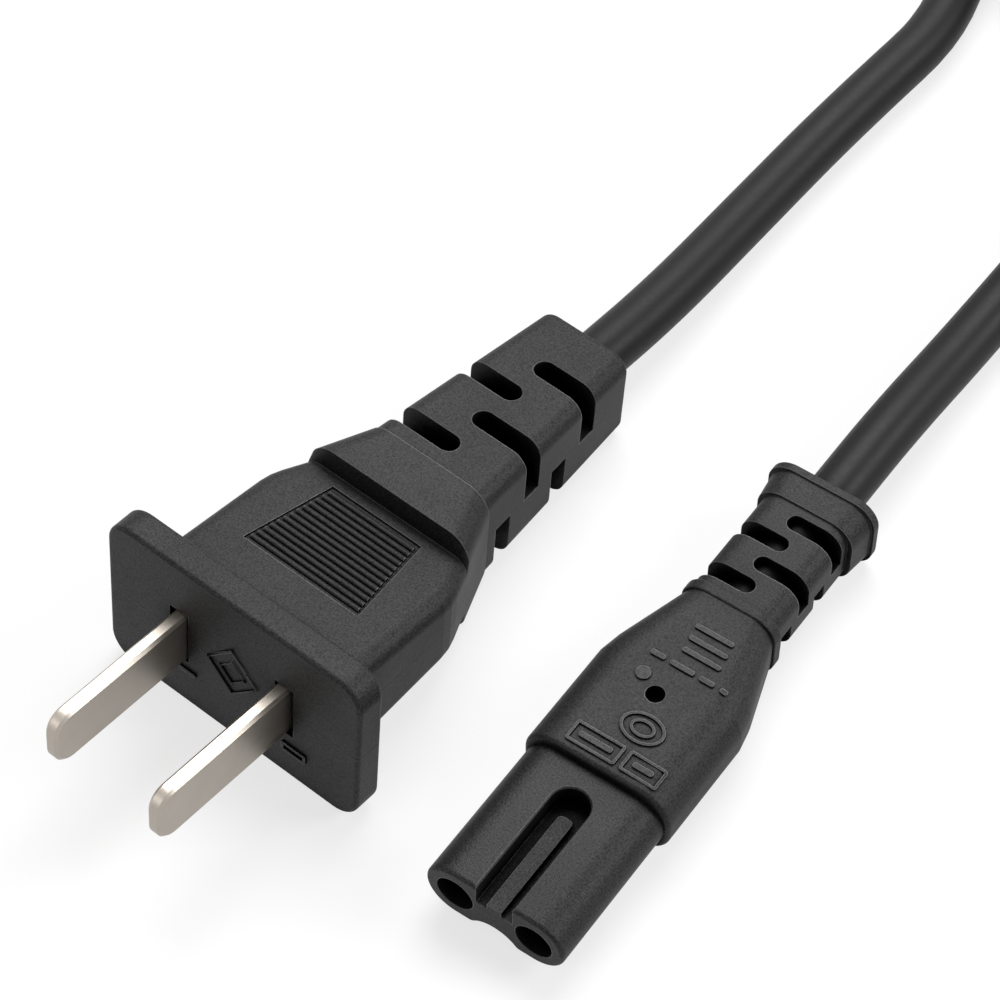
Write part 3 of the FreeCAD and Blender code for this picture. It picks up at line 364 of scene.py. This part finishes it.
class LEAD_OT_mouldings(bpy.types.Operator):
    """Give the two overmoulds and the nose their black plastic"""
    bl_idname = "lead.mouldings"
    bl_label = "Mouldings"

    def execute(self, context):
        soft_black = tuple(colours().moulding)
        hard_black = tuple(colours().nose)
        finish_nodes(moulded_finish("connector_moulding", soft_black, CONNECTOR_POSE), "connector_body")
        finish_nodes(moulded_finish("plug_moulding", soft_black, PLUG_POSE), "plug_body")
        finish_nodes(moulded_finish("nose_moulding", hard_black, CONNECTOR_POSE, 0.46), "connector_nose")
        return {"FINISHED"}


class LEAD_OT_metals(bpy.types.Operator):
    """Give the blades, contacts and wires their metal"""
    bl_idname = "lead.metals"
    bl_label = "Metals"

    def execute(self, context):
        finish_nodes(brushed_nickel_finish(), "blade_left", "blade_right")
        finish_nodes(bright_metal_finish("contact_brass", tuple(colours().brass), 0.28),
                     "contact_left", "contact_right")
        finish_nodes(bright_metal_finish("wire_copper", tuple(colours().copper), 0.3),
                     "connector_wire_left", "connector_wire_right", "plug_wire_left", "plug_wire_right")
        return {"FINISHED"}


class LEAD_OT_inner_plastics(bpy.types.Operator):
    """Give the cores, the bridge and the coil's strap their plastic"""
    bl_idname = "lead.inner_plastics"
    bl_label = "Inner plastics and strap"

    def execute(self, context):
        finish_nodes(plain_plastic_finish("core_insulation", tuple(colours().insulation), 0.4, 0.6 * MM),
                     "connector_core_left", "connector_core_right", "plug_core_left", "plug_core_right")
        finish_nodes(plain_plastic_finish("blade_bridge", tuple(colours().nose), 0.5, 0.5 * MM), "plug_carrier")
        finish_nodes(plain_plastic_finish("coil_strap", tuple(colours().strap), 0.6, 0.3 * MM), "coil_tie")
        return {"FINISHED"}


# Cord

def cord_points():
    """Control points from inside the connector, round the coil and into the plug."""
    s = sizes()
    lie = s.cable_diameter / 2
    connector_exit = Vector((0, CONNECTOR_HIGH.y, CONNECTOR_AXIS))
    plug_exit = PLUG_FACE + PLUG_BACK * plug_length()
    coil_low, coil_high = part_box("cord_coil")
    coil_middle = (coil_low + coil_high) / 2
    outer_turn = s.coil_mid_radius + s.coil_turn_pitch
    low_turn = s.coil_lift + lie
    high_turn = s.coil_lift + 3 * lie

    to_coil = [
        connector_exit - Vector((0, s.jacket_inside_connector, 0)),
        connector_exit,
        connector_exit + Vector((0, s.cable_straight, 0)),
        Vector((0.3 * MM, 56 * MM, lie + 0.1 * MM)),
        Vector((1.2 * MM, 78 * MM, lie + 1.2 * MM)),
        Vector((7.5 * MM, 98.8 * MM, high_turn - 0.1 * MM)),
    ]
    to_plug = [
        Vector((-24.2 * MM, 98.6 * MM, lie + 0.1 * MM)),
        Vector((-26.6 * MM, 74.5 * MM, lie)),
        Vector((-27.4 * MM, 58 * MM, lie + 0.05 * MM)),
        plug_exit + PLUG_BACK * s.cable_straight,
        plug_exit,
        plug_exit - PLUG_BACK * s.jacket_inside_plug,
    ]
    return to_coil + coil_turns(coil_middle, outer_turn, low_turn, high_turn) + to_plug


def plug_length():
    """How far the plug's moulding reaches along its axis, from its face back."""
    return max((v.co - PLUG_FACE).dot(PLUG_BACK) for v in frame["nodes"]["plug_body"].data.vertices)


def ease(value, start, stop):
    """0 before start, 1 after stop and a smooth step between."""
    t = min(max((value - start) / (stop - start), 0), 1)
    return t * t * (3 - 2 * t)


def coil_turns(middle, outer_turn, low_turn, high_turn):
    """Three turns inwards on the upper layer, then outwards on the lower one, anticlockwise seen from above."""
    enter, leave, step = 325, 215 + 6 * 360, 15
    inward_spans = ((535, 685), (895, 1045))
    drop_span = (1235, 1425)
    outward_spans = ((1615, 1765), (1975, 2125))
    pitch, tuck = sizes().coil_turn_pitch, 0.8 * MM
    # Control points lie outside the curve that they draw, by this share
    outside = 1 / math.cos(math.radians(step / 2))
    points = []
    for angle in range(enter, leave + 1, step):
        steps_in = sum(ease(angle, *span) for span in inward_spans)
        steps_out = sum(ease(angle, *span) for span in outward_spans)
        drop = ease(angle, *drop_span)
        way_down = 4 * drop * (1 - drop)
        radius = (outer_turn - pitch * (steps_in - steps_out) - tuck * way_down) * outside
        turn = math.radians(angle)
        points.append(Vector((middle.x + radius * math.cos(turn), middle.y + radius * math.sin(turn),
                              high_turn + (low_turn - high_turn) * drop)))
    return points


class LEAD_OT_cord(bpy.types.Operator):
    """Draw the cord as one smooth line from connector to plug"""
    bl_idname = "lead.cord"
    bl_label = "Cord"

    def execute(self, context):
        s = sizes()
        line = bpy.data.curves.new("cord", "CURVE")
        line.dimensions = "3D"
        line.bevel_depth = s.cable_diameter / 2
        line.bevel_resolution = 9
        line.resolution_u = 10
        line.use_fill_caps = True
        route = cord_points()
        spline = line.splines.new("NURBS")
        spline.points.add(len(route) - 1)
        for point, place in zip(spline.points, route):
            point.co = (*place, 1)
        spline.order_u = 3
        spline.use_endpoint_u = True
        spline.use_smooth = True
        cord = bpy.data.objects.new("cord", line)
        context.scene.collection.objects.link(cord)
        give_finish(cord, jacket_finish())
        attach(cord, "root")
        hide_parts("cord_connector_run", "cord_plug_run", "cord_coil")
        return {"FINISHED"}


# Plain mould marks

def start_marks(name):
    """An empty mesh object, open for editing."""
    bpy.ops.object.select_all(action="DESELECT")
    piece = bpy.data.objects.new(name, bpy.data.meshes.new(name))
    bpy.context.scene.collection.objects.link(piece)
    bpy.context.view_layer.objects.active = piece
    piece.select_set(True)
    bpy.ops.object.mode_set(mode="EDIT")
    return piece


def add_plate(x, y, width, depth, corner=0.0, turn=0.0):
    """A flat plate, in millimetres, with round corners where a corner radius is given."""
    bpy.ops.mesh.select_all(action="DESELECT")
    middle = (x * MM, y * MM, 0)
    bpy.ops.mesh.primitive_plane_add(size=MM, location=middle)
    bpy.ops.transform.resize(value=(width, depth, 1), center_override=middle)
    if corner:
        bpy.ops.mesh.bevel(offset=corner * MM, offset_type="OFFSET", segments=5, affect="VERTICES")
    if turn:
        bpy.ops.transform.rotate(value=math.radians(turn), orient_axis="Z", center_override=middle)


def hollow_plate():
    """Leave only a line round the plate that was added last."""
    bpy.ops.mesh.inset(thickness=sizes().mark_line)
    bpy.ops.mesh.delete(type="ONLY_FACE")


def add_oval(x, y, width, depth):
    """A flat round or oval plate, in millimetres."""
    bpy.ops.mesh.select_all(action="DESELECT")
    middle = (x * MM, y * MM, 0)
    bpy.ops.mesh.primitive_circle_add(vertices=40, radius=MM / 2, fill_type="NGON", location=middle)
    bpy.ops.transform.resize(value=(width, depth, 1), center_override=middle)


def place_marks(piece, pose, finish):
    """Lay the flat marks where they go and give them their finish."""
    bpy.ops.object.mode_set(mode="OBJECT")
    piece.matrix_world = pose
    bpy.ops.object.transform_apply(location=True, rotation=True, scale=True)
    give_finish(piece, finish)
    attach(piece, "root")


def thicken(piece):
    """Give the flat marks their height, and the part of it that is sunk in the moulding."""
    solid = piece.modifiers.new("height", "SOLIDIFY")
    solid.thickness = sizes().mark_height + sizes().mark_sink
    solid.offset = 1


class LEAD_OT_connector_marks(bpy.types.Operator):
    """Raise plain bars, rings and frames on the connector's top"""
    bl_idname = "lead.connector_marks"
    bl_label = "Connector marks"

    def execute(self, context):
        piece = start_marks("connector_marks")
        for row in range(3):
            add_plate(0.9 + 0.25 * row, 34.6 - 1.5 * row, 4.2, 0.55, 0.2)
        for x, width in ((-2.2, 1.6), (0.5, 2.6), (3.2, 1.6), (5.0, 0.8)):
            add_plate(x, 29.7, width, 0.55, 0.2)
        add_oval(-2.2, 27.2, 1.5, 1.5)
        for size in (1.0, 0.56):
            add_oval(1.2, 22.0, 4.6 * size, 3.4 * size)
            hollow_plate()
        for x, width in ((-1.5, 5.4), (3.7, 4.0)):
            add_plate(x, 18.3, width, 2.4, 0.3)
            hollow_plate()
            add_plate(x, 18.3, width - 1.8, 0.6, 0.2)
        # A lighter copy of the moulding colour: a painted highlight that makes the raised marks stand out
        colour_with_painted_light = tuple(c * 1.25 for c in colours().moulding)
        place_marks(piece, Matrix.Translation((0, CONNECTOR_LOW.y, 2 * CONNECTOR_HIGH.z)),
                    moulded_finish("mould_marks", colour_with_painted_light, CONNECTOR_POSE, 0.46, 0.26))
        drape = piece.modifiers.new("drape", "SHRINKWRAP")
        drape.target = frame["nodes"]["connector_body"]
        drape.wrap_method = "PROJECT"
        drape.use_negative_direction = True
        drape.use_positive_direction = False
        drape.use_project_z = True
        drape.offset = -sizes().mark_sink
        bpy.ops.object.modifier_apply(modifier=drape.name)
        thicken(piece)
        return {"FINISHED"}


class LEAD_OT_plug_marks(bpy.types.Operator):
    """Raise nested diamonds, a plain bar and a small frame on the plug's face"""
    bl_idname = "lead.plug_marks"
    bl_label = "Plug marks"

    def execute(self, context):
        piece = start_marks("plug_marks")
        add_plate(0.2, 0.0, 4.8, 4.8, 0.1, 45)
        hollow_plate()
        add_plate(0.2, 0.0, 2.6, 2.6, 0.1, 45)
        hollow_plate()
        add_plate(-5.7, -4.6, 2.6, 0.5, 0.2)
        add_plate(7.9, -5.3, 3.0, 1.2, 0.2)
        hollow_plate()
        axes = Matrix((PLUG_RIGHT, PLUG_UP, -PLUG_BACK)).transposed().to_4x4()
        place_marks(piece, Matrix.Translation(PLUG_FACE + PLUG_BACK * sizes().mark_sink) @ axes,
                    frame["nodes"]["plug_body"].data.materials[0])
        thicken(piece)
        return {"FINISHED"}


# Studio

def camera_white(tree, shade, light):
    """Mixes two shaders so that the camera, and what it sees mirrored or through glass, gets the second."""
    path = tree.nodes.new("ShaderNodeLightPath")
    seen = tree.nodes.new("ShaderNodeMath")
    seen.operation = "MAXIMUM"
    tree.links.new(path.outputs["Is Camera Ray"], seen.inputs[0])
    either = tree.nodes.new("ShaderNodeMath")
    either.operation = "MAXIMUM"
    tree.links.new(path.outputs["Is Glossy Ray"], either.inputs[0])
    tree.links.new(path.outputs["Is Transmission Ray"], either.inputs[1])
    tree.links.new(either.outputs["Value"], seen.inputs[1])
    mix = tree.nodes.new("ShaderNodeMixShader")
    tree.links.new(seen.outputs["Value"], mix.inputs["Fac"])
    tree.links.new(shade, mix.inputs[1])
    tree.links.new(light, mix.inputs[2])
    return mix.outputs["Shader"]


def pale_world():
    """A dim white room that shows as plain white to the camera."""
    world = bpy.data.worlds.new("pale_room")
    world.use_nodes = True
    tree = world.node_tree
    ambient = tree.nodes["Background"]
    ambient.inputs["Color"].default_value = (1, 1, 1, 1)
    ambient.inputs["Strength"].default_value = 0.25
    white = tree.nodes.new("ShaderNodeBackground")
    white.inputs["Color"].default_value = (1, 1, 1, 1)
    white.inputs["Strength"].default_value = 1.0
    mixed = camera_white(tree, ambient.outputs["Background"], white.outputs["Background"])
    tree.links.new(mixed, tree.nodes["World Output"].inputs["Surface"])
    bpy.context.scene.world = world


def floor_finish():
    """Pale table that looks white and still takes a soft shadow."""
    finish = bpy.data.materials.new("pale_floor")
    finish.use_nodes = True
    tree = finish.node_tree
    shader = tree.nodes["Principled BSDF"]
    shader.inputs["Base Color"].default_value = (*colours().floor, 1)
    shader.inputs["Roughness"].default_value = 0.9
    shader.inputs["Specular IOR Level"].default_value = 0.1
    glow = tree.nodes.new("ShaderNodeEmission")
    glow.inputs["Strength"].default_value = 1.0
    bright = tree.nodes.new("ShaderNodeMixShader")
    bright.inputs["Fac"].default_value = 0.72
    tree.links.new(shader.outputs["BSDF"], bright.inputs[1])
    tree.links.new(glow.outputs["Emission"], bright.inputs[2])
    mixed = camera_white(tree, shader.outputs["BSDF"], bright.outputs["Shader"])
    tree.links.new(mixed, tree.nodes["Material Output"].inputs["Surface"])
    return finish


def soft_box(name, place, aim, width, height, power):
    """A rectangular studio lamp, in metres and watts, turned to a point."""
    lamp = bpy.data.lights.new(name, "AREA")
    lamp.shape = "RECTANGLE"
    lamp.size = width
    lamp.size_y = height
    lamp.energy = power
    holder = bpy.data.objects.new(name, lamp)
    holder.location = place
    holder.rotation_euler = (Vector(aim) - Vector(place)).to_track_quat("-Z", "Y").to_euler()
    bpy.context.scene.collection.objects.link(holder)


def photo_camera():
    """Camera above and to the right of the connector's mouth, with a long lens."""
    focal_pixels = 3500
    lens = bpy.data.cameras.new("photo_camera")
    lens.sensor_width = SENSOR
    lens.lens = SENSOR * focal_pixels / IMAGE_SIDE
    camera = bpy.data.objects.new("photo_camera", lens)
    camera.location = (91.853 * MM, -157.805 * MM, 277.568 * MM)
    pitch_down, turned_left = 53.0, 35.095
    camera.rotation_euler = (math.radians(90 - pitch_down), 0, math.radians(turned_left))
    bpy.context.scene.collection.objects.link(camera)
    bpy.context.scene.camera = camera


class LEAD_OT_stage(bpy.types.Operator):
    """Set up the table, the lamps, the room and the camera"""
    bl_idname = "lead.stage"
    bl_label = "Stage"

    def execute(self, context):
        bpy.ops.object.select_all(action="DESELECT")
        bpy.ops.mesh.primitive_plane_add(size=2 * sizes().floor_reach, location=(0, 0, 0))
        floor = context.active_object
        floor.name = "floor"
        give_finish(floor, floor_finish())
        middle = (-0.012, 0.01, 0.0)
        soft_box("top_box", (-0.2, 0.42, 0.72), middle, 0.6, 0.5, 8.0)
        soft_box("side_box", (0.58, 0.42, 0.46), middle, 0.35, 0.35, 4.2)
        soft_box("front_box", (-0.35, -0.6, 0.45), middle, 0.5, 0.35, 0.8)
        pale_world()
        photo_camera()
        context.scene.view_settings.view_transform = "Standard"
        return {"FINISHED"}


class LEAD_PT_panel(bpy.types.Panel):
    """Steps that dress the lead"""
    bl_idname = "LEAD_PT_panel"
    bl_label = "Mains lead"
    bl_space_type = "VIEW_3D"
    bl_region_type = "UI"
    bl_category = "Mains Lead"

    def draw(self, context):
        for operator in OPERATORS:
            self.layout.operator(operator.bl_idname)
        for group in (context.scene.lead_sizes, context.scene.lead_colours):
            box = self.layout.box()
            for name in group.bl_rna.properties.keys():
                if name not in ("rna_type", "name"):
                    box.prop(group, name)


OPERATORS = (LEAD_OT_cord, LEAD_OT_mouldings, LEAD_OT_metals, LEAD_OT_inner_plastics, LEAD_OT_connector_marks,
             LEAD_OT_plug_marks, LEAD_OT_stage)
CLASSES = (LeadSizes, LeadColours) + OPERATORS + (LEAD_PT_panel,)


def register():
    for cls in CLASSES:
        bpy.utils.register_class(cls)
    bpy.types.Scene.lead_sizes = PointerProperty(type=LeadSizes)
    bpy.types.Scene.lead_colours = PointerProperty(type=LeadColours)


def unregister():
    del bpy.types.Scene.lead_colours
    del bpy.types.Scene.lead_sizes
    for cls in reversed(CLASSES):
        bpy.utils.unregister_class(cls)


def main():
    register()
    bpy.ops.lead.cord()
    bpy.ops.lead.mouldings()
    bpy.ops.lead.metals()
    bpy.ops.lead.inner_plastics()
    bpy.ops.lead.connector_marks()
    bpy.ops.lead.plug_marks()
    bpy.ops.lead.stage()


if __name__ == "__main__":
    main()
